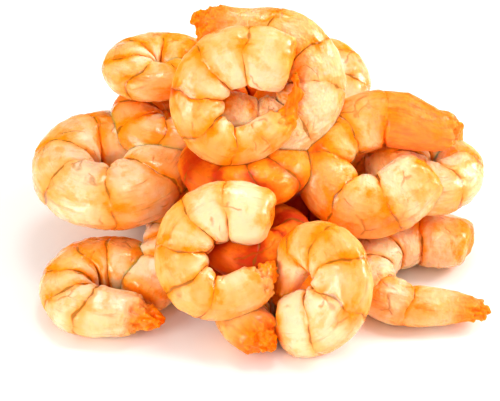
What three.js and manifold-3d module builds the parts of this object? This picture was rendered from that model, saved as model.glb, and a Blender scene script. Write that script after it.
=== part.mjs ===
// A heap of cooked, peeled shrimp lying loose on a flat surface, in millimetres, +Z up.
// Each shrimp is one curled body of flesh: a blunt cut where the head was, six segments that
// bulge between creases, and a narrow tail tip. Each has its own size, curl and pose, and gives
// way where it presses on the ones below it, with a thin gap kept between them.
// The front of the heap faces -Y. The origin is on the resting surface, under the heap's middle.
import * as THREE from "three";
import { mergeVertices } from "three/addons/utils/BufferGeometryUtils.js";
import Module from "manifold-3d";

// Driving dimensions of one average shrimp
const BODY_LENGTH = 63; // along the middle of the flesh, from the head cut to the tail tip
const BODY_HEIGHT = 20; // back to belly at the thickest
const BODY_WIDTH = 15; // flank to flank at the thickest

// Where each segment begins, as a share of the body length
const SEGMENT_STARTS = [0, 0.16, 0.32, 0.47, 0.61, 0.75];

const TAIL_START = 0.73; // where the tail begins, which can turn further or lie straighter

// Share of the length, then height and width as shares of the thickest
const PROFILE = [
  [0.0, 0.96, 0.93],
  [0.1, 1.0, 0.99],
  [0.24, 1.0, 1.0],
  [0.45, 0.92, 0.94],
  [0.65, 0.8, 0.83],
  [0.8, 0.68, 0.72],
  [0.92, 0.57, 0.58],
  [1.0, 0.42, 0.42],
];

// Relief of the flesh
const CREASE_BACK = 0.35; // depth of a segment crease across the back
const CREASE_FLANK = 0.6;
const CREASE_BELLY = 1.7;
const CREASE_KINK = 0.03; // how far a crease runs towards the tail at mid flank, a share of the length
const BELLY_GROOVE = 0.9; // furrow along the belly
const BELLY_FULLNESS = 0.1; // how much wider the body is near the belly than near the back
const LUMP = 0.35; // slow unevenness of the surface
const HEAD_DOME = 1.6; // how far the cut face swells out

// The flat tip beyond the last segment: its usual length, then rings as shares of that length
// and of the section it grows from
const TIP_LENGTH = 4;
const TIP_RINGS = [
  [0, 1],
  [0.15, 0.75],
  [0.6, 0.55],
  [0.92, 0.25],
  [1, 0],
];

// Facets
const SIDES = 10;
const RINGS_PER_SEGMENT = [0, 0.5]; // places in a segment, the first on its crease
const SPINE_STEPS = 120;

// How the shrimp meet
const CLEARANCE = 0.35; // gap kept between two shrimp that touch
const FINEST = 0.05; // facets finer than this, which the cuts leave, are merged
const FLOOR = 400; // side of the block that flattens what would sink below the surface
const MIDDLE_X = 2.3; // the heap's middle, in the places that the table below gives
const MIDDLE_Y = 4.9;

// One entry for each shrimp, from the surface upwards. at is the middle of its curl, in mm, and
// the angles are in degrees. It is spun in its own plane, tilted up on edge, then turned about
// the vertical. An open curl faces +X before that, and mirrored swaps its head and tail ends.
// curl is how far the body turns from end to end. size scales the whole shrimp, length only its
// middle line and tailSize only the tail's thickness, which tapers no more past the share blunt.
// From tailStart on, the tail turns further by tailTurn, or lies straighter where that is
// negative. tip is the length of the flat tip, which bends by tipTurn, and tipSize scales its
// section.
const SHRIMP = [
  { name: "shrimp_left_under", at: [-31, 3, 12], tilt: 15, spin: 188, curl: 80, size: 0.92 },
  { name: "shrimp_low_left", at: [-44.5, -21.5, 7], tilt: 4, spin: 3, curl: 228, size: 0.97,
    length: 0.94, tailTurn: -40, tailSize: 1.35, blunt: 0.9, tip: 9, tipSize: 0.8 },
  { name: "shrimp_low_front", at: [9, -34, 7], tilt: 2, spin: -72, curl: 225, size: 0.9,
    tailSize: 1.35, blunt: 0.85, tipSize: 0.8 },
  { name: "shrimp_low_right", at: [53, -15, 7], tilt: 5, spin: 10, curl: 235, length: 1.3, tailTurn: -56 },
  { name: "shrimp_low_back_left", at: [-40, 38, 6.6], tilt: 3, spin: 120, curl: 250, size: 0.95 },
  { name: "shrimp_low_back", at: [0, 37, 6.6], tilt: -3, spin: 60, curl: 260, size: 0.95 },
  { name: "shrimp_low_back_right", at: [42, 34, 6.6], tilt: 3, spin: 200, curl: 250, size: 0.95 },
  { name: "shrimp_low_middle", at: [18, 8, 6.6], tilt: -3, spin: 150, curl: 260, size: 0.95,
    mirrored: true },
  { name: "shrimp_low_inner", at: [-9, -2, 6.5], tilt: -3, spin: 60, curl: 260, size: 0.9 },
  { name: "shrimp_core", at: [2, -10, 21], tilt: 6, spin: 100, curl: 260, size: 0.95 },
  { name: "shrimp_inner_left", at: [-20, 16, 20], tilt: 4, spin: 200, curl: 260, size: 0.95 },
  { name: "shrimp_inner_right", at: [38, 10, 20], tilt: -6, spin: -60, curl: 260, size: 0.95 },
  { name: "shrimp_front_right", at: [18, -34.5, 18], turn: -45, tilt: 58, spin: -115, curl: 258,
    size: 1.02, length: 0.96 },
  { name: "shrimp_back_left", at: [-35, 43, 20], tilt: 8, spin: 200, curl: 260, size: 0.95 },
  { name: "shrimp_back", at: [4, 39, 21], tilt: 10, spin: 200, curl: 260, size: 0.95 },
  { name: "shrimp_back_right", at: [40, 32, 20], tilt: -5, spin: 80, curl: 255, size: 0.95 },
  { name: "shrimp_right_back", at: [56.5, 17, 28], tilt: 12, spin: 80, curl: 330, size: 1.06,
    length: 1.12 },
  { name: "shrimp_left", at: [-41.5, 17, 26], tilt: 6, spin: 20, curl: 288, size: 1.2, length: 1.2,
    mirrored: true, tailTurn: -52, tailSize: 1.35, blunt: 0.85, tip: 14, tipSize: 1.15 },
  { name: "shrimp_middle", at: [-2.5, 7, 34.5], tilt: 3, spin: 92, curl: 200, length: 0.95,
    mirrored: true },
  { name: "shrimp_front", at: [-7.5, -27.5, 25], tilt: 46, spin: 6, curl: 220, size: 0.93,
    length: 1.1, tailTurn: 8, tailSize: 1.1, blunt: 0.85, tip: 7, tipTurn: 75, tipSize: 0.8 },
  { name: "shrimp_right", at: [40.5, 8.5, 35.5], tilt: 42, spin: -28, curl: 322, length: 1.4,
    mirrored: true, tailStart: 0.58, tailTurn: -98, tailSize: 1.35 },
  { name: "shrimp_back_middle", at: [1, 33, 40], tilt: 6, spin: 60, curl: 250, size: 0.95 },
  { name: "shrimp_left_back_under", at: [-27, 34, 33], tilt: 4, spin: 100, curl: 260, size: 0.9 },
  { name: "shrimp_left_back", at: [-28.5, 44, 46], tilt: -2, spin: 30, curl: 305, size: 0.95 },
  { name: "shrimp_top_right_back", at: [18, 37, 45], tilt: 20, spin: 180, curl: 255, size: 0.95 },
  { name: "shrimp_top_back", at: [3, 21, 58], tilt: 58, spin: 190, curl: 244, size: 1.08,
    length: 1.2, tailTurn: -68, tailSize: 1.05, blunt: 0.85, tip: 6, tipSize: 0.8 },
  { name: "shrimp_top", at: [-2, 9, 56], tilt: 55, spin: 8, curl: 230, size: 0.95, length: 1.17,
    tailTurn: 10, tailSize: 0.95, blunt: 0.85, tip: 17, tipTurn: 62, tipSize: 0.5 },
];

const wasm = await Module();
wasm.setup();

const radians = THREE.MathUtils.degToRad;
const { lerp, clamp, smoothstep } = THREE.MathUtils;

// A smooth line through the rows of a table, whose first column rises.
function lookUp(table, x, column) {
  const last = table.length - 1;
  let i = 0;
  while (i < last - 1 && x > table[i + 1][0]) i++;
  const row = (n) => table[clamp(n, 0, last)];
  const span = row(i + 1)[0] - row(i)[0];
  const t = clamp((x - row(i)[0]) / span, 0, 1);
  const slope = (n) => {
    const run = row(n + 1)[0] - row(n - 1)[0];
    return ((row(n + 1)[column] - row(n - 1)[column]) / run) * span;
  };
  const [a, b] = [row(i)[column], row(i + 1)[column]];
  return (
    a * (1 + 2 * t) * (1 - t) ** 2 +
    slope(i) * t * (1 - t) ** 2 +
    b * t * t * (3 - 2 * t) +
    slope(i + 1) * t * t * (t - 1)
  );
}

// The middle line of one shrimp: points and headings in its own plane, centred on its curl.
// It bends less where the flesh is thick, and the last stretch of the tail can turn further.
function spineOf({ curl, size = 1, length = 1, tailStart = TAIL_START, tailTurn = 0 }) {
  const bend = (u) => {
    const ends = smoothstep(u, 0.02, 0.24) * (1 - smoothstep(u, 0.76, 0.96));
    return (0.12 + ends) / (0.35 + lookUp(PROFILE, u, 1));
  };
  let total = 0;
  for (let i = 0; i < SPINE_STEPS; i++) total += bend((i + 0.5) / SPINE_STEPS);
  const step = (BODY_LENGTH * size * length) / SPINE_STEPS;
  const heading = [radians(270 - curl / 2)];
  const at = [new THREE.Vector3()];
  for (let i = 0; i < SPINE_STEPS; i++) {
    const u = (i + 0.5) / SPINE_STEPS;
    const turned = (radians(curl) * bend(u)) / total;
    const extra = u > tailStart ? radians(tailTurn) / ((1 - tailStart) * SPINE_STEPS) : 0;
    heading.push(heading[i] + turned + extra);
    const mean = (heading[i] + heading[i + 1]) / 2;
    const move = new THREE.Vector3(Math.cos(mean) * step, Math.sin(mean) * step, 0);
    at.push(at[i].clone().add(move));
  }
  const box = new THREE.Box3().setFromPoints(at);
  const middle = box.getCenter(new THREE.Vector3());
  at.forEach((p) => p.sub(middle));
  return { at, heading };
}

// The place and heading a share u of the way along a spine.
function alongSpine(spine, u) {
  const x = clamp(u, 0, 1) * SPINE_STEPS;
  const i = Math.min(Math.floor(x), SPINE_STEPS - 1);
  const at = spine.at[i].clone().lerp(spine.at[i + 1], x - i);
  return { at, heading: lerp(spine.heading[i], spine.heading[i + 1], x - i) };
}

// The rings of facets, from the head cut to the tail tip: u is the share of the body length,
// crease is 1 on a segment crease, open is how far the ring reaches out from its middle,
// dome is how far it stands out of the end face, and tip is its share of the flat tip.
function ringsOfBody() {
  const rings = [
    { u: 0, crease: 0, open: 0, dome: -HEAD_DOME, tip: 0 },
    { u: 0, crease: 0, open: 0.72, dome: -HEAD_DOME * 0.8, tip: 0 },
    { u: 0, crease: 0, open: 0.94, dome: 0, tip: 0 },
  ];
  SEGMENT_STARTS.forEach((start, n) => {
    const end = SEGMENT_STARTS[n + 1] ?? 1;
    RINGS_PER_SEGMENT.forEach((t) => {
      const ring = { u: lerp(start, end, t), crease: t ? 0 : 1, open: 1, dome: 0, tip: 0 };
      if (n + t > 0) rings.push(ring);
    });
  });
  TIP_RINGS.forEach(([tip, open]) => rings.push({ u: 1, crease: 0, open, dome: 0, tip }));
  return rings;
}

const RINGS = ringsOfBody();

// How far out of its middle line the flesh reaches at an angle psi from the back,
// as distances towards the back and towards the flank.
function section(u, psi, crease, { size = 1, tailSize = 1, blunt = 1 }, phase, grow) {
  const [back, side] = [Math.cos(psi), Math.sin(psi)];
  const full = size * lerp(1, tailSize, smoothstep(u, 0.55, 0.8));
  const tapered = Math.min(u, blunt);
  const height = (BODY_HEIGHT / 2) * full * lookUp(PROFILE, tapered, 1);
  const width = (BODY_WIDTH / 2) * full * lookUp(PROFILE, tapered, 2);
  const belly = Math.max(0, -back);
  const depth = lerp(lerp(CREASE_BACK, CREASE_FLANK, side * side), CREASE_BELLY, belly ** 2);
  const groove = BELLY_GROOVE * belly ** 8 * (1 - smoothstep(u, 0.7, 0.95));
  const lump = LUMP * Math.sin(11 * u + phase) * Math.cos(psi * 2 + 3 * phase);
  const thin = lookUp(PROFILE, u, 1);
  const inwards = size * thin * (crease * depth - lump) - grow;
  return {
    back: back * (height - inwards) + groove,
    side: side * (width * (1 - BELLY_FULLNESS * back) - inwards),
  };
}

// One shrimp as a three.js geometry: a sphere's grid laid along the spine.
function shrimpGeometry(shrimp, index, grow = 0) {
  const { size = 1, tip = TIP_LENGTH * size, tipTurn = 0, tipSize = 1 } = shrimp;
  const spine = spineOf(shrimp);
  const phase = 2.4 * index;
  const geometry = new THREE.SphereGeometry(1, SIDES, RINGS.length - 1);
  const position = geometry.getAttribute("position");
  for (let i = 0; i < position.count; i++) {
    const ring = RINGS[Math.floor(i / (SIDES + 1))];
    const psi = (2 * Math.PI * (i % (SIDES + 1))) / SIDES;
    const kink = CREASE_KINK * Math.sin(psi) ** 2 * smoothstep(ring.u, 0, 0.1);
    const u = ring.u + kink * (1 - smoothstep(ring.u, 0.8, 0.95));
    const { at, heading } = alongSpine(spine, u);
    const turned = heading + radians(tipTurn) * ring.tip;
    const towards = (heading + turned) / 2;
    at.addScaledVector(new THREE.Vector3(Math.cos(towards), Math.sin(towards), 0), tip * ring.tip);
    const ahead = new THREE.Vector3(Math.cos(turned), Math.sin(turned), 0);
    const outwards = new THREE.Vector3(Math.sin(turned), -Math.cos(turned), 0);
    const reach = section(u, psi, ring.crease, shrimp, phase, grow);
    const dome = ring.dome * size + Math.sign(ring.dome) * grow;
    at.addScaledVector(ahead, dome);
    const open = ring.open * (ring.tip > 0 ? tipSize : 1);
    at.addScaledVector(outwards, reach.back * open);
    at.z += reach.side * open;
    position.setXYZ(i, at.x, at.y, at.z);
  }
  return geometry;
}

// The pose of one shrimp in the heap.
function poseOf({ at, turn = 0, tilt = 0, spin = 0, mirrored = false }) {
  const pose = new THREE.Object3D();
  pose.position.set(...at);
  const turns = [
    [0, 0, 1, turn],
    [1, 0, 0, tilt],
    [0, 0, 1, spin],
    [1, 0, 0, mirrored ? 180 : 0],
  ];
  turns.forEach(([x, y, z, angle]) => {
    const axis = new THREE.Vector3(x, y, z);
    pose.quaternion.multiply(new THREE.Quaternion().setFromAxisAngle(axis, radians(angle)));
  });
  pose.updateMatrix();
  return pose.matrix;
}

// A closed solid from a geometry, for cutting.
function solidOf(geometry) {
  const bare = geometry.clone();
  bare.deleteAttribute("normal");
  bare.deleteAttribute("uv");
  const merged = mergeVertices(bare, 1e-4);
  const vertProperties = merged.getAttribute("position").array;
  const triVerts = new Uint32Array(merged.getIndex().array);
  return new wasm.Manifold(new wasm.Mesh({ numProp: 3, vertProperties, triVerts }));
}

// A geometry from a cut solid.
function geometryOf(solid) {
  const mesh = solid.getMesh();
  const geometry = new THREE.BufferGeometry();
  const points = new Float32Array(mesh.vertProperties);
  geometry.setAttribute("position", new THREE.BufferAttribute(points, 3));
  geometry.setIndex(new THREE.BufferAttribute(new Uint32Array(mesh.triVerts), 1));
  geometry.computeVertexNormals();
  return geometry;
}

// The largest body of a solid that a cut may have left in pieces.
function largestBody(solid) {
  return solid.decompose().reduce((a, b) => (a.volume() > b.volume() ? a : b));
}

// Each shrimp lies on those before it, so it gives way to them where they would meet.
function buildHeap() {
  const below = new THREE.BoxGeometry(FLOOR, FLOOR, FLOOR).translate(0, 0, -FLOOR / 2);
  const surface = solidOf(below);
  const placed = SHRIMP.map((shrimp, i) => ({
    shrimp,
    body: solidOf(shrimpGeometry(shrimp, i).applyMatrix4(poseOf(shrimp))),
    room: solidOf(shrimpGeometry(shrimp, i, CLEARANCE).applyMatrix4(poseOf(shrimp))),
  }));
  const heap = new THREE.Group();
  placed.forEach(({ shrimp, body }, i) => {
    let solid = body.subtract(surface);
    placed.slice(0, i).forEach((other) => {
      solid = solid.subtract(other.room);
    });
    const flesh = new THREE.MeshStandardMaterial({ color: 0xf7b27a, roughness: 0.3, metalness: 0 });
    const mesh = new THREE.Mesh(geometryOf(largestBody(solid).simplify(FINEST)), flesh);
    mesh.name = shrimp.name;
    heap.add(mesh);
  });
  heap.position.set(-MIDDLE_X, -MIDDLE_Y, 0);
  return heap;
}

export default buildHeap();
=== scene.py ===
"""A heap of cooked, peeled shrimp lying loose on a pale surface.

Each shrimp is modelled straight along +X, with its back to -Y, by extruding its cut end ring by
ring. Then it is bent along its curl, laid in the heap, and trimmed where it presses on the
shrimp below it. Lengths are in metres, worked out from millimetres.
"""
import math
from dataclasses import dataclass

import bmesh
import bpy
import numpy as np
from mathutils import Matrix, Vector


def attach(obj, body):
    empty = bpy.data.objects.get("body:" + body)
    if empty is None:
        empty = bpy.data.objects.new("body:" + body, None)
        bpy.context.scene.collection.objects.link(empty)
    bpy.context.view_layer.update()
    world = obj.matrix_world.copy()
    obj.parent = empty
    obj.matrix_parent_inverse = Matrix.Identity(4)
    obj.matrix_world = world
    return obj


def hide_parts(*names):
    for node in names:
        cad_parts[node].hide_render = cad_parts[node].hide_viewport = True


MM = 0.001

# One average shrimp
BODY_LENGTH = 63 * MM  # along the middle of the flesh
BODY_HEIGHT = 20 * MM  # back to belly at the thickest
BODY_WIDTH = 15 * MM
SEGMENT_STARTS = (0.16, 0.32, 0.47, 0.61, 0.75)  # where the creases cross the back, as shares of the length

# Share of the length, then height and width as shares of the thickest
PROFILE = (
    (0.0, 0.96, 0.93),
    (0.1, 1.0, 0.99),
    (0.24, 1.0, 1.0),
    (0.45, 0.92, 0.94),
    (0.65, 0.8, 0.83),
    (0.8, 0.68, 0.72),
    (0.92, 0.57, 0.58),
    (1.0, 0.42, 0.42),
)

# The flat tip: shares of its length, and of the section it grows from
TIP_RINGS = ((0.12, 0.86), (0.3, 0.68), (0.62, 0.56), (0.86, 0.36), (0.98, 0.14))

# The domed cut where the head was: place behind the end in mm, and share of the section
HEAD_RINGS = ((-2.2, 0.25), (-2.3, 0.5), (-1.8, 0.74), (-0.6, 0.91), (1.6, 1.0))

# Relief. Round the body, angles run from 0 at the back to 180 at the belly.
SIDES = 20
ROUNDING = 3 / (2 + math.cos(2 * math.pi / SIDES))  # makes up for what smoothing takes off
BELLY_WIDTH = 1.06
BACK_WIDTH = 0.94
CREASE_RINGS = ((-1.5, 0.0), (-0.5, 0.1), (0.0, 1.0), (0.5, 0.55), (1.5, 0.0))  # mm, share of the depth
CREASE_DEPTH = 0.025  # share of the section
CREASE_BELLY = 0.12  # what the belly adds to that
CREASE_JITTER = 0.007
SEAM_REACH = 5 * MM  # how far from a crease its distance is still noted
KNUCKLE = 0.06  # how far the belly swells between two creases
SWELL = 1.015  # how thick the body is between two creases, as a share of the smooth section
SEGMENTED = (0.05, 0.8)  # shares of the length between which the segments show
BELLY_GROOVE = 0.9 * MM
FLANK_FURROW = 0.03
FURROW_ANGLE = 108
HALF_STEP = 8  # degrees either side of a line along the body
KINK = 1.9 * MM  # how far a crease runs towards the tail at mid flank
WOBBLE = 3 * MM  # how far the creases stray along the body
WOBBLE_SCALE = 9 * MM
LUMP = 1.3 * MM
LUMP_SCALE = 7 * MM
RIPPLE = 0.35 * MM
RIPPLE_SCALE = 1.5 * MM
RAG = 4 * MM  # how torn the end of the tail is
RAG_SCALE = 2.2 * MM
TORN = (0.96, 1.02)  # shares of the length between which the tail gets torn
TAIL_GROWTH = (0.55, 0.8)  # shares of the length between which tail_size comes in
SMOOTH_LEVELS = 2
SHARP_ANGLE = math.radians(50)
SPINE_STEPS = 120
TIP_STEPS = 12
CLEARANCE = 0.1 * MM
SAME_PLACE = 0.01 * MM
FLOOR_BLOCK = 400 * MM
FLOOR_SIZE = 6000 * MM
STRAY = 110 * MM  # how far apart two shrimp lie in the patterns, so that no two are alike
PHASE_STEP = 2.4  # what moves the creases of each shrimp a little away from those of the one before

# The flesh, in colours as seen on a screen
CREAM = (255, 212, 172)
PEACH = (255, 177, 102)
ORANGE = (253, 150, 22)
# Painted shade: the deep orange of the shrimp that lie in the shade inside and under the heap
PAINTED_SHADE_ORANGE = (196, 62, 0)
OLIVE = (152, 98, 4)  # the lines in the creases and the fine stains
TAIL_COLOURS = ((255, 144, 0), (240, 100, 0))
TAIL_FADE = 0.15  # share of the length over which the flesh passes into the tail's orange
SEGMENT_TONE = 0.35  # how far the tone differs from one segment to the next, and within one
CREASE_GLOW = 3 * MM  # how far from a crease the flesh is warmer
LINE_WIDTH = 0.42 * MM
LINE_DRIFT = 1.9 * MM  # how far the line in a crease wanders
BUMP_HEIGHT = 0.6 * MM

# How many blotches of each pattern fit in a metre
BLOTCH_SCALE = 90
SMUDGE_SCALE = 170
BAND_SCALE = 110
STREAK_SCALE = 160
GRAIN_SCALE = 900
PIT_SCALE = 380
CRACK_SCALE = 60
WET_SCALE = 140

SURFACE_COLOURS = ((243, 242, 240), (247, 246, 244))

MIDDLE = Vector((2.3, 4.9, 0)) * MM  # the heap's middle, in the places below

# The camera looks at a point inside the heap
CAMERA_TARGET = Vector((0, 0, 25)) * MM - MIDDLE
CAMERA_ELEVATION = math.radians(36)
CAMERA_DISTANCE = 620 * MM
CAMERA_LENS = 144
CAMERA_SENSOR = 36

WORLD_STRENGTH = 0.68
# Name, power in watts, then side and place in metres, and tint
LIGHTS = (
    ("top", 2, 0.3, (0.1, 0.3, 1.0), (1, 1, 1)),
    ("front", 6.4, 0.6, (-0.8, -0.65, 0.45), (1, 1, 1)),
    ("rim", 5, 0.4, (0.7, 0.15, 0.5), (1, 1, 1)),
    ("low warm", 2.5, 0.8, (0.45, -0.85, 0.1), (1, 0.45, 0.1)),
)


@dataclass
class Shrimp:
    """How one shrimp is made and lies: at is the middle of its curl in mm, and angles are in degrees.

    It is spun in its own plane, tilted up on edge, then turned about the vertical. mirrored swaps
    its head and tail ends. curl is how far it turns from end to end. From tail_start on, the tail
    turns further by tail_turn, and past the share blunt it tapers no more. tip is the length of the
    flat tip in mm, which bends by tip_turn, and tip_size scales its section.
    tone runs from 0, pale cream, through 1, orange, to 2.5, the deep orange of those in the shade, which is
    painted shade.
    The orange of the tail starts at orange_from.
    The bumps value says how bumpy the skin is, from 0 to 1; it also whitens the flank as a painted highlight,
    and on the bumpiest shrimp it brings painted shade onto the belly.
    """

    at: tuple
    curl: float
    turn: float = 0
    tilt: float = 0
    spin: float = 0
    mirrored: bool = False
    size: float = 1
    length: float = 1
    tail_start: float = 0.73
    tail_turn: float = 0
    tail_size: float = 1
    blunt: float = 1
    tip: float = 4
    tip_turn: float = 0
    tip_size: float = 1
    tone: float = 0.3
    orange_from: float = 0.85
    bumps_and_highlight: float = 0.1


# From the surface upwards. The tones above 1 are painted shade on the shrimp that lie in the shade, inside
# the heap, under or beneath others.
HEAP = {
    "left_under": Shrimp(at=(-31, 3, 12), tilt=15, spin=188, curl=80, size=0.92, tone=0),
    "low_left": Shrimp(at=(-44.5, -21.5, 7), tilt=4, spin=3, curl=228, size=0.97, length=0.94,
                       tail_turn=-40, tail_size=1.35, blunt=0.9, tip=9, tip_size=0.8, orange_from=0.97),
    "low_front": Shrimp(at=(9, -34, 7), tilt=2, spin=-72, curl=225, size=0.9, tail_size=1.35,
                        blunt=0.85, tip_size=0.8, tone=0.7),
    "low_right": Shrimp(at=(53, -15, 7), tilt=5, spin=10, curl=235, length=1.3, tail_turn=-56,
                        tone=0.3, bumps_and_highlight=0.6),
    "low_back_left": Shrimp(at=(-40, 38, 6.6), tilt=3, spin=120, curl=250, size=0.95),
    "low_back": Shrimp(at=(0, 37, 6.6), tilt=-3, spin=60, curl=260, size=0.95),
    "low_back_right": Shrimp(at=(42, 34, 6.6), tilt=3, spin=200, curl=250, size=0.95),
    "low_middle": Shrimp(at=(18, 8, 6.6), tilt=-3, spin=150, curl=260, size=0.95, mirrored=True, tone=2.2),
    "low_inner": Shrimp(at=(-9, -2, 6.5), tilt=-3, spin=60, curl=260, size=0.9, tone=2.5),
    "core": Shrimp(at=(2, -10, 21), tilt=6, spin=100, curl=260, size=0.95, tone=2.0),
    "inner_left": Shrimp(at=(-20, 16, 20), tilt=4, spin=200, curl=260, size=0.95, tone=1.2),
    "inner_right": Shrimp(at=(38, 10, 20), tilt=-6, spin=-60, curl=260, size=0.95, tone=1.2),
    "front_right": Shrimp(at=(18, -34.5, 18), turn=-45, tilt=58, spin=-115, curl=258, size=1.02,
                          length=0.96, tone=0.25),
    "back_left": Shrimp(at=(-35, 43, 20), tilt=8, spin=200, curl=260, size=0.95),
    "back": Shrimp(at=(4, 39, 21), tilt=10, spin=200, curl=260, size=0.95),
    "back_right": Shrimp(at=(40, 32, 20), tilt=-5, spin=80, curl=255, size=0.95, tone=0.6),
    "right_back": Shrimp(at=(56.5, 17, 28), tilt=12, spin=80, curl=330, size=1.06, length=1.12,
                         tone=0.45, bumps_and_highlight=0.6),
    "left": Shrimp(at=(-41.5, 17, 26), tilt=6, spin=20, curl=288, size=1.2, length=1.2, mirrored=True,
                   tail_turn=-52, tail_size=1.35, blunt=0.85, tip=14, tip_size=1.15, orange_from=1),
    "middle": Shrimp(at=(-2.5, 7, 34.5), tilt=3, spin=92, curl=200, length=0.95, mirrored=True,
                     tone=1.5),
    "front": Shrimp(at=(-7.5, -27.5, 25), tilt=46, spin=6, curl=220, size=0.93, length=1.1, tail_turn=8,
                    tail_size=1.1, blunt=0.85, tip=7, tip_turn=75, tip_size=0.8, tone=0.2,
                    orange_from=1.04),
    "right": Shrimp(at=(40.5, 8.5, 35.5), tilt=42, spin=-28, curl=322, length=1.4, mirrored=True,
                    tail_start=0.58, tail_turn=-98, tail_size=1.35, tone=0.4, orange_from=0.66, bumps_and_highlight=0.4),
    "back_middle": Shrimp(at=(1, 33, 40), tilt=6, spin=60, curl=250, size=0.95, tone=1.2),
    "left_back_under": Shrimp(at=(-27, 34, 33), tilt=4, spin=100, curl=260, size=0.9, tone=0.5),
    "left_back": Shrimp(at=(-28.5, 44, 46), tilt=-2, spin=30, curl=305, size=0.95, tone=0.6, bumps_and_highlight=0.3),
    "top_right_back": Shrimp(at=(18, 37, 45), tilt=20, spin=180, curl=255, size=0.95, tone=0.3),
    "top_back": Shrimp(at=(3, 21, 58), tilt=58, spin=190, curl=244, size=1.08, length=1.2,
                       tail_turn=-68, tail_size=1.05, blunt=0.85, tip=6, tip_size=0.8, tone=0.1,
                       bumps_and_highlight=1),
    "top": Shrimp(at=(-2, 9, 56), tilt=55, spin=8, curl=230, size=0.95, length=1.17, tail_turn=10,
                  tail_size=0.95, blunt=0.85, tip=17, tip_turn=62, tip_size=0.5, orange_from=0.96),
}


def smoothstep(x, low, high):
    """0 below low, 1 above high, and smooth between."""
    t = np.clip((x - low) / (high - low), 0, 1)
    return t * t * (3 - 2 * t)


def look_up(table, x, column):
    """A smooth line through the rows of a table, whose first column rises."""
    last = len(table) - 1
    i = 0
    while i < last - 1 and x > table[i + 1][0]:
        i += 1

    def row(n):
        return table[min(max(n, 0), last)]

    span = row(i + 1)[0] - row(i)[0]
    t = min(max((x - row(i)[0]) / span, 0), 1)

    def slope(n):
        run = row(n + 1)[0] - row(n - 1)[0]
        return (row(n + 1)[column] - row(n - 1)[column]) / run * span

    a = row(i)[column]
    b = row(i + 1)[column]
    return (a * (1 + 2 * t) * (1 - t) ** 2 + slope(i) * t * (1 - t) ** 2
            + b * t * t * (3 - 2 * t) + slope(i + 1) * t * t * (t - 1))


def body_length(shrimp):
    """The length of one shrimp's middle line."""
    return BODY_LENGTH * shrimp.size * shrimp.length


def half_section(shrimp, share):
    """Half the height and half the width of the body at a share of its length."""
    full = shrimp.size * (1 + (shrimp.tail_size - 1) * smoothstep(share, *TAIL_GROWTH))
    tapered = min(share, shrimp.blunt)
    return (BODY_HEIGHT / 2 * full * look_up(PROFILE, tapered, 1),
            BODY_WIDTH / 2 * full * look_up(PROFILE, tapered, 2))


def crease_places(phase):
    """Where the creases cross the back of one shrimp, as shares of its length, a little uneven."""
    return [start + CREASE_JITTER * math.sin(2.3 * n + phase) for n, start in enumerate(SEGMENT_STARTS)]


@dataclass
class Ring:
    """One ring of the straight body: its place along X, half its height and width, and how much of
    a crease or of a swelling knuckle its belly is."""

    x: float
    height: float
    width: float
    crease: float = 0
    knuckle: float = 0


def ring_plan(shrimp, phase):
    """The rings of one straight body, from the cut end to the tip."""
    length = body_length(shrimp)
    height, width = half_section(shrimp, 0)
    rings = [Ring(place * MM * shrimp.size, height * share, width * share) for place, share in HEAD_RINGS]
    bounds = [0.02, *crease_places(phase), 0.96]
    for n, start in enumerate(bounds[:-1]):
        for offset, depth in CREASE_RINGS if n else ():
            share = start + offset * MM * shrimp.size / length
            height, width = half_section(shrimp, share)
            left = 1 - CREASE_DEPTH * depth
            rings.append(Ring(share * length, height * left, width * left, crease=depth))
        middle = 0.5 * (start + bounds[n + 1])
        height, width = half_section(shrimp, middle)
        rings.append(Ring(middle * length, height * SWELL, width * SWELL, knuckle=1))
    rings[-1].knuckle = 0
    height, width = half_section(shrimp, 1)
    rings.append(Ring(length, height, width))
    for place, share in TIP_RINGS:
        left = share * shrimp.tip_size
        rings.append(Ring(length + place * shrimp.tip * MM, height * left, width * left))
    return rings


def deselect_all():
    """Leaves no object selected."""
    for thing in bpy.context.selected_objects:
        thing.select_set(False)


def make_active(thing):
    """Selects one object alone and makes it the active one."""
    deselect_all()
    thing.select_set(True)
    bpy.context.view_layer.objects.active = thing


def apply_modifier(thing, kind, **settings):
    """Adds a modifier to an object and applies it."""
    make_active(thing)
    modifier = thing.modifiers.new(kind.lower(), kind)
    for name, value in settings.items():
        setattr(modifier, name, value)
    bpy.ops.object.modifier_apply(modifier=modifier.name)


def pick(body, wanted):
    """In edit mode, selects the points whose place wanted accepts, and no others."""
    mesh = bmesh.from_edit_mesh(body.data)
    for point in mesh.verts:
        point.select_set(wanted(point.co))
    mesh.select_flush_mode()
    bmesh.update_edit_mesh(body.data)


def scale_picked(x, y_scale, z_scale):
    """Scales the picked points across the body, about its middle line at x."""
    bpy.ops.transform.resize(value=(1, y_scale, z_scale), center_override=(x, 0, 0))


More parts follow.
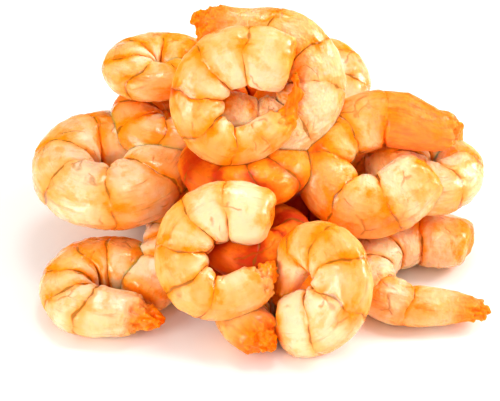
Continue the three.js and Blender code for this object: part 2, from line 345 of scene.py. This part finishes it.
def straight_body(name, shrimp, phase):
    """One shrimp laid out straight: its cut end extruded ring by ring, then creased and smoothed."""
    rings = ring_plan(shrimp, phase)
    first = rings[0]
    deselect_all()
    bpy.ops.mesh.primitive_circle_add(vertices=SIDES, radius=1, fill_type="NGON",
                                      location=(first.x, 0, 0), rotation=(0, math.pi / 2, 0))
    body = bpy.context.object
    body.name = name
    body.data.name = name
    bpy.ops.object.transform_apply(location=True, rotation=True, scale=True)
    bpy.ops.object.mode_set(mode="EDIT")
    bpy.ops.mesh.select_mode(type="VERT")
    bpy.ops.mesh.select_all(action="SELECT")
    scale_picked(first.x, first.height * ROUNDING, first.width * ROUNDING)
    pick(body, lambda place: place.y > 0.3 * first.height)
    scale_picked(first.x, 1, BELLY_WIDTH)
    pick(body, lambda place: place.y < -0.3 * first.height)
    scale_picked(first.x, 1, BACK_WIDTH)
    bpy.ops.mesh.select_all(action="SELECT")
    for before, ring in zip(rings, rings[1:]):
        bpy.ops.mesh.extrude_region_move(TRANSFORM_OT_translate={"value": (ring.x - before.x, 0, 0)})
        scale_picked(ring.x, ring.height / before.height, ring.width / before.width)
    crease_belly(body, rings)
    furrow_flanks(body, shrimp)
    bpy.ops.object.mode_set(mode="OBJECT")
    apply_modifier(body, "SUBSURF", levels=SMOOTH_LEVELS, render_levels=SMOOTH_LEVELS)
    return body


def crease_belly(body, rings):
    """Draws the belly in at the creases and swells it between them, which makes its knuckles."""
    for ring in rings:
        share = 1 - CREASE_BELLY * ring.crease + KNUCKLE * ring.knuckle
        if share != 1:
            pick(body, lambda place: abs(place.x - ring.x) < SAME_PLACE and place.y > 0.5 * ring.height)
            scale_picked(ring.x, share, share)


def furrow_flanks(body, shrimp):
    """Parts the belly in two, presses a furrow along each flank, and bends the creases there."""
    length = body_length(shrimp)
    first, last = SEGMENTED

    def angle(place):
        height, width = half_section(shrimp, min(max(place.x / length, 0), 1))
        return math.degrees(math.atan2(abs(place.z) / width, -place.y / height))

    def pick_line(wanted):
        pick(body, lambda place: first < place.x / length < last and abs(angle(place) - wanted) < HALF_STEP)

    pick_line(180)
    bpy.ops.transform.translate(value=(0, -BELLY_GROOVE * shrimp.size, 0))
    pick_line(FURROW_ANGLE)
    scale_picked(0, 1 - FLANK_FURROW, 1 - FLANK_FURROW)
    for side in range(1, SIDES // 2):
        turned = 2 * math.pi * side / SIDES
        pick_line(math.degrees(turned))
        bpy.ops.transform.translate(value=(KINK * shrimp.size * math.sin(turned) ** 2, 0, 0))


def mark(body, shrimp, phase):
    """Notes on every point where it is on the straight body, and how far from the back or a crease."""
    count = len(body.data.vertices)
    place = np.empty(count * 3)
    body.data.vertices.foreach_get("co", place)
    place = place.reshape(-1, 3)
    length = body_length(shrimp)
    back = -place[:, 1] / (np.hypot(place[:, 1], place[:, 2]) + 1e-9)
    unbent = place[:, 0] - KINK * shrimp.size * (1 - back ** 2)
    seam = np.full(count, SEAM_REACH)
    for start in crease_places(phase):
        seam = np.minimum(seam, np.abs(unbent - start * length))
    tail = smoothstep(place[:, 0] / length, shrimp.orange_from, shrimp.orange_from + TAIL_FADE)
    bounds = np.array([0, *crease_places(phase), 1]) * length
    segment = np.clip(np.searchsorted(bounds, unbent) - 1, 0, len(bounds) - 2)
    share = (unbent - bounds[segment]) / (bounds[segment + 1] - bounds[segment])
    uneven = np.sin(7.1 * segment + 3 * phase)
    deeper_by_creases = 1.5 * (2 * share - 1) ** 2 - 0.5
    # The high tones given to shrimp in the shade are painted shade
    tone = shrimp.tone + SEGMENT_TONE * (uneven + deeper_by_creases)
    bumps_and_highlight = np.full(count, shrimp.bumps_and_highlight)
    values = {"tail": tail, "back": back, "seam": seam, "tone": tone, "bumps_and_highlight": bumps_and_highlight}
    for name, value in values.items():
        attribute = body.data.attributes.new(name, "FLOAT", "POINT")
        attribute.data.foreach_set("value", value.astype(np.float32))
    straight = place + np.array([STRAY * phase, 0, 0])
    attribute = body.data.attributes.new("straight", "FLOAT_VECTOR", "POINT")
    attribute.data.foreach_set("vector", straight.astype(np.float32).ravel())
    torn = body.vertex_groups.new(name="torn")
    for point in np.flatnonzero(place[:, 0] > TORN[0] * length):
        torn.add([int(point)], float(smoothstep(place[point, 0] / length, *TORN)), "REPLACE")


def middle_line(shrimp):
    """A curve object along the middle of the curled body, from the cut end to the tip.

    It bends least at both ends, and less where the body is thick than where it is thin.
    """
    shares = (np.arange(SPINE_STEPS) + 0.5) / SPINE_STEPS
    ends = smoothstep(shares, 0.02, 0.24) * (1 - smoothstep(shares, 0.76, 0.96))
    thick = np.array([look_up(PROFILE, share, 1) for share in shares])
    bend = (0.12 + ends) / (0.35 + thick)
    turned = math.radians(shrimp.curl) * bend / bend.sum()
    tail = shares > shrimp.tail_start
    turned[tail] += math.radians(shrimp.tail_turn) / ((1 - shrimp.tail_start) * SPINE_STEPS)
    turned = np.append(turned, np.full(TIP_STEPS, math.radians(shrimp.tip_turn) / TIP_STEPS))
    strides = np.append(np.full(SPINE_STEPS, body_length(shrimp) / SPINE_STEPS),
                        np.full(TIP_STEPS, shrimp.tip * MM / TIP_STEPS))
    heading = math.radians(270 - shrimp.curl / 2) + np.append(0, np.cumsum(turned))
    mean = (heading[:-1] + heading[1:]) / 2
    moves = strides[:, None] * np.stack([np.cos(mean), np.sin(mean)], 1)
    points = np.vstack([np.zeros((1, 2)), np.cumsum(moves, 0)])
    flesh = points[:SPINE_STEPS + 1]
    points = points - (flesh.min(0) + flesh.max(0)) / 2
    data = bpy.data.curves.new("middle line", "CURVE")
    data.dimensions = "2D"
    spline = data.splines.new("POLY")
    spline.points.add(len(points) - 1)
    for point, (x, y) in zip(spline.points, points):
        point.co = (x, y, 0, 1)
    line = bpy.data.objects.new("middle line", data)
    bpy.context.scene.collection.objects.link(line)
    return line


def curl_up(body, shrimp):
    """Bends a straight body along its middle line and puts it in its place in the heap."""
    line = middle_line(shrimp)
    apply_modifier(body, "CURVE", object=line, deform_axis="POS_X")
    bpy.data.objects.remove(line)
    roll = Matrix.Rotation(math.pi if shrimp.mirrored else 0, 4, "X")
    turn = Matrix.Rotation(math.radians(shrimp.turn), 4, "Z")
    tilt = Matrix.Rotation(math.radians(shrimp.tilt), 4, "X")
    spin = Matrix.Rotation(math.radians(shrimp.spin), 4, "Z")
    place = Matrix.Translation(Vector(shrimp.at) * MM - MIDDLE)
    body.matrix_world = place @ turn @ tilt @ spin @ roll
    make_active(body)
    bpy.ops.object.transform_apply(location=True, rotation=True, scale=True)


def clouds(name, scale):
    """A cloudy texture that pushes a surface in and out."""
    texture = bpy.data.textures.new(name, "CLOUDS")
    texture.noise_scale = scale
    return texture


def near(one, other):
    """Whether the boxes of two objects overlap."""
    low, high = np.array([(min(axis), max(axis)) for axis in zip(*one.bound_box)]).T
    other_low, other_high = np.array([(min(axis), max(axis)) for axis in zip(*other.bound_box)]).T
    return bool((low < other_high).all() and (other_low < high).all())


def copy_of(body, name):
    """A copy of an object with its own mesh."""
    twin = body.copy()
    twin.data = body.data.copy()
    twin.name = name
    bpy.context.scene.collection.objects.link(twin)
    return twin


def keep_largest(body):
    """Drops the scraps that trimming has left loose."""
    name = body.name
    make_active(body)
    bpy.ops.mesh.separate(type="LOOSE")
    parts = sorted(bpy.context.selected_objects, key=lambda part: len(part.data.vertices))
    largest = parts.pop()
    for part in parts:
        bpy.data.objects.remove(part)
    largest.name = name
    make_active(largest)
    return largest


def build_heap():
    """Models every shrimp, and trims each where it presses on the surface or on an earlier one."""
    deselect_all()
    bpy.ops.mesh.primitive_cube_add(size=FLOOR_BLOCK, location=(0, 0, -FLOOR_BLOCK / 2))
    ground = bpy.context.object
    bpy.ops.object.transform_apply(location=True, rotation=True, scale=True)
    wobble = clouds("wobble", WOBBLE_SCALE)
    lumps = clouds("lumps", LUMP_SCALE)
    ripples = clouds("ripples", RIPPLE_SCALE)
    rags = clouds("rags", RAG_SCALE)
    blocks = [ground]
    heap = {}
    for n, (name, shrimp) in enumerate(HEAP.items()):
        phase = PHASE_STEP * n
        body = straight_body("peeled_" + name, shrimp, phase)
        mark(body, shrimp, phase)
        body.location.x = n * STRAY
        apply_modifier(body, "DISPLACE", texture=wobble, texture_coords="GLOBAL", direction="X",
                       strength=WOBBLE)
        body.location.x = 0
        curl_up(body, shrimp)
        apply_modifier(body, "DISPLACE", texture=lumps, texture_coords="GLOBAL", strength=LUMP)
        apply_modifier(body, "DISPLACE", texture=ripples, texture_coords="GLOBAL", strength=RIPPLE)
        apply_modifier(body, "DISPLACE", texture=rags, texture_coords="GLOBAL", strength=RAG,
                       vertex_group="torn")
        room = copy_of(body, "room for " + name)
        apply_modifier(room, "DISPLACE", strength=CLEARANCE, mid_level=0)
        for block in blocks:
            if near(body, block):
                apply_modifier(body, "BOOLEAN", object=block, operation="DIFFERENCE", solver="MANIFOLD")
        blocks.append(room)
        heap[name] = keep_largest(body)
        bpy.ops.object.shade_smooth_by_angle(angle=SHARP_ANGLE)
    for block in blocks:
        bpy.data.objects.remove(block)
    return heap


def colour(shown):
    """A colour as seen on a screen, from 0 to 255, as linear light."""
    shares = [value / 255 for value in shown]
    return (*[s / 12.92 if s < 0.04 else ((s + 0.055) / 1.055) ** 2.4 for s in shares], 1)


class Value:
    """A socket of a node in a material. Arithmetic on it adds Math nodes."""

    def __init__(self, material, socket):
        self.material = material
        self.socket = socket

    def math(self, operation, first, second):
        return self.material.node("ShaderNodeMath", {"operation": operation}, {0: first, 1: second})

    def __add__(self, other):
        return self.math("ADD", self, other)

    def __radd__(self, other):
        return self.math("ADD", other, self)

    def __sub__(self, other):
        return self.math("SUBTRACT", self, other)

    def __rsub__(self, other):
        return self.math("SUBTRACT", other, self)

    def __mul__(self, other):
        return self.math("MULTIPLY", self, other)

    def __rmul__(self, other):
        return self.math("MULTIPLY", other, self)

    def larger(self, other):
        return self.math("MAXIMUM", self, other)

    def rise(self, low, high):
        """0 below low, 1 above high, and smooth between. With low above high it falls."""
        settings = {"interpolation_type": "SMOOTHSTEP"}
        return self.material.node("ShaderNodeMapRange", settings, {0: self, 1: low, 2: high})


class Material:
    """A material put together from nodes."""

    def __init__(self, name):
        self.data = bpy.data.materials.new(name)
        self.data.use_nodes = True
        self.tree = self.data.node_tree
        self.tree.nodes.clear()

    def node(self, kind, settings, values, output=0):
        """Adds a node: first its settings, then the values or links of its sockets."""
        made = self.tree.nodes.new(kind)
        for name, value in settings.items():
            setattr(made, name, value)
        for key, value in values.items():
            if isinstance(value, Value):
                self.tree.links.new(value.socket, made.inputs[key])
            else:
                made.inputs[key].default_value = value
        return Value(self, made.outputs[output]) if made.outputs else made

    def attribute(self, name, output="Fac"):
        """What the mesh carries on its points under a name."""
        return self.node("ShaderNodeAttribute", {"attribute_name": name}, {}, output)

    def mix(self, share, first, second):
        """One colour passing into another."""
        return self.node("ShaderNodeMix", {"data_type": "RGBA"}, {0: share, 6: first, 7: second}, 2)

    def scaled(self, place, scale):
        """A place stretched along its axes."""
        return self.node("ShaderNodeMapping", {}, {"Vector": place, "Scale": scale})

    def strayed(self, place, scale, reach):
        """A place pushed about by noise, which makes what is drawn on it wander."""
        drift = self.node("ShaderNodeTexNoise", {}, {"Vector": place, "Scale": scale}, "Color")
        centred = self.node("ShaderNodeVectorMath", {"operation": "SUBTRACT"}, {0: drift, 1: (0.5, 0.5, 0.5)})
        pushed = self.node("ShaderNodeVectorMath", {"operation": "SCALE"}, {0: centred, "Scale": reach})
        return self.node("ShaderNodeVectorMath", {"operation": "ADD"}, {0: place, 1: pushed})

    def noise(self, place, scale, detail=2.0, roughness=0.5):
        """Cloudy noise around a half. Its blotches measure about one over scale metres."""
        values = {"Vector": place, "Scale": scale, "Detail": detail, "Roughness": roughness}
        return self.node("ShaderNodeTexNoise", {}, values, "Fac")


def flesh_material():
    """Cooked flesh: cream to peach, orange along the creases, the back and the tail, and wet; with painted
    shade in deep orange on the shrimp that lie in the shade, and painted highlights paler on the belly
    knuckles and the bumpy flanks.
    """
    flesh = Material("cooked flesh")
    place = flesh.node("ShaderNodeTexCoord", {}, {}, "Object")
    straight = flesh.attribute("straight", "Vector")
    tail = flesh.attribute("tail")
    back = flesh.attribute("back")
    seam = flesh.attribute("seam")
    tone = flesh.attribute("tone")
    bumps_and_highlight = flesh.attribute("bumps_and_highlight")

    blotches = flesh.noise(straight, BLOTCH_SCALE, 3, 0.55)
    smudges = flesh.noise(straight, SMUDGE_SCALE, 4, 0.6).rise(0.48, 0.68)
    bands = flesh.noise(flesh.scaled(straight, (3, 1, 1)), BAND_SCALE, 4, 0.6)
    streaks = flesh.noise(flesh.scaled(straight, (1, 5, 5)), STREAK_SCALE, 4, 0.6)
    grain = flesh.noise(place, GRAIN_SCALE, 4, 0.6)
    pits = flesh.noise(straight, PIT_SCALE, 2)
    crease = seam.rise(CREASE_GLOW, 0.0)
    line = (seam + LINE_DRIFT * (flesh.noise(straight, 200, 3) - 0.47)).rise(LINE_WIDTH, 0.0)
    cells = flesh.node("ShaderNodeTexVoronoi", {"feature": "DISTANCE_TO_EDGE"}, {
        "Vector": flesh.strayed(straight, 170, 5 * MM), "Scale": CRACK_SCALE}, "Distance")
    cracks = cells.rise(0.03, 0.0) * flesh.noise(straight, 130, 2).rise(0.52, 0.62) * (1 - tail)

    # Warmth runs from 0, cream, to 2.6, the deepest orange, which is painted shade on the shrimp in the
    # shade. The bumpy flanks are whiter as a painted highlight. The bumpiest shrimp is warm on its belly as
    # painted shade.
    belly = back.rise(0.1, -0.9) * (1 - crease)
    warmth = (0.15 + tone + 1.3 * (blotches - 0.5) + 0.8 * (bands - 0.5) + 0.5 * smudges + 0.3 * crease
              + 0.15 * back - 0.25 * bumps_and_highlight + 1.1 * belly * bumps_and_highlight.rise(0.7, 1.0))
    # Paler on the belly knuckles: partly the flesh's own colour and partly a painted highlight
    pale = flesh.mix((warmth - 0.25 * belly).rise(-0.2, 0.7), colour(CREAM), colour(PEACH))
    # Towards the deep orange, which is painted shade on the shrimp in the shade
    orange = flesh.mix(warmth.rise(1.2, 2.6), colour(ORANGE), colour(PAINTED_SHADE_ORANGE))
    flesh_colour = flesh.mix(warmth.rise(0.6, 1.25), pale, orange)
    stained = (streaks.rise(0.52, 0.75) * back.rise(-0.2, 0.8) * 0.4).larger(cracks * 0.5)
    flesh_colour = flesh.mix(stained.larger(line * 0.75), flesh_colour, colour(OLIVE))
    tail_colour = flesh.mix(streaks.rise(0.3, 0.8), *[colour(shown) for shown in TAIL_COLOURS])
    flesh_colour = flesh.mix(tail * 0.85, flesh_colour, tail_colour)

    wet = flesh.noise(place, WET_SCALE, 2).rise(0.4, 0.6)
    dull = tone.rise(0.8, 1.8).larger(0.6 * tail)
    height = grain * 0.25 + bands * 0.6 + streaks * 0.4 + bumps_and_highlight * pits * 6 - cracks * 0.5 - line * 0.6
    bump = flesh.node("ShaderNodeBump", {}, {"Strength": 0.6, "Distance": BUMP_HEIGHT, "Height": height})
    shader = flesh.node("ShaderNodeBsdfPrincipled", {}, {
        "Base Color": flesh_colour,
        "Roughness": 0.34 + 0.2 * grain - 0.2 * wet + 0.25 * dull,
        "Specular IOR Level": 0.5,
        "Subsurface Weight": 1.0,
        "Subsurface Radius": (1.0, 0.45, 0.25),
        "Subsurface Scale": 2.2 * MM,
        "IOR": 1.42,
        "Coat Weight": wet * (1 - dull),
        "Coat Roughness": 0.2,
        "Normal": bump,
    })
    flesh.node("ShaderNodeOutputMaterial", {}, {"Surface": shader})
    return flesh.data


def floor_material():
    """The plain white surface."""
    white = Material("white surface")
    place = white.node("ShaderNodeTexCoord", {}, {}, "Object")
    shade = white.mix(white.noise(place, 40), *[colour(shown) for shown in SURFACE_COLOURS])
    shader = white.node("ShaderNodeBsdfPrincipled", {}, {"Base Color": shade, "Roughness": 0.6})
    white.node("ShaderNodeOutputMaterial", {}, {"Surface": shader})
    return white.data


def add_camera():
    """Looks down on the heap from the front."""
    camera = bpy.data.objects.new("camera", bpy.data.cameras.new("camera"))
    camera.data.lens = CAMERA_LENS
    camera.data.sensor_width = CAMERA_SENSOR
    towards = Vector((0, -math.cos(CAMERA_ELEVATION), math.sin(CAMERA_ELEVATION)))
    camera.location = CAMERA_TARGET + CAMERA_DISTANCE * towards
    camera.rotation_euler = (math.pi / 2 - CAMERA_ELEVATION, 0, 0)
    bpy.context.scene.collection.objects.link(camera)
    bpy.context.scene.camera = camera


def add_light(name, energy, size, place, tint):
    """A square soft light that faces the heap."""
    light = bpy.data.objects.new(name, bpy.data.lights.new(name, "AREA"))
    light.data.energy = energy
    light.data.size = size
    light.data.color = tint
    light.location = place
    light.rotation_euler = (CAMERA_TARGET - Vector(place)).to_track_quat("-Z", "Y").to_euler()
    bpy.context.scene.collection.objects.link(light)


def add_world(strength):
    """Soft white light from all round, which isn't mirrored in the wet flesh."""
    world = bpy.data.worlds.new("white room")
    world.use_nodes = True
    background = world.node_tree.nodes["Background"]
    background.inputs["Color"].default_value = (1, 1, 1, 1)
    background.inputs["Strength"].default_value = strength
    world.cycles_visibility.glossy = False
    bpy.context.scene.world = world


def add_floor():
    """The surface that the heap lies on, which isn't part of it."""
    deselect_all()
    bpy.ops.mesh.primitive_plane_add(size=FLOOR_SIZE, location=(0, 0, 0))
    floor = bpy.context.object
    floor.name = "floor"
    floor.data.materials.append(floor_material())


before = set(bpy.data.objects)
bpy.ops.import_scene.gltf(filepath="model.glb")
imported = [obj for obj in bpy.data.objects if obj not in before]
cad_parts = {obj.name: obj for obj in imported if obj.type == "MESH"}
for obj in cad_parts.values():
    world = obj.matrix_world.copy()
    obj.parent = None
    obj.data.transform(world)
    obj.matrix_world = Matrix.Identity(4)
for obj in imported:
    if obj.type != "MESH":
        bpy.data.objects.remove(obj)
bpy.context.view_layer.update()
bpy.context.scene.view_settings.view_transform = "Standard"
bpy.context.scene.view_settings.look = "Medium High Contrast"
add_camera()
add_world(WORLD_STRENGTH)
for light in LIGHTS:
    add_light(*light)
add_floor()

cooked = flesh_material()
for name, body in build_heap().items():
    body.data.materials.clear()
    body.data.materials.append(cooked)
    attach(body, "root")
    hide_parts("shrimp_" + name)
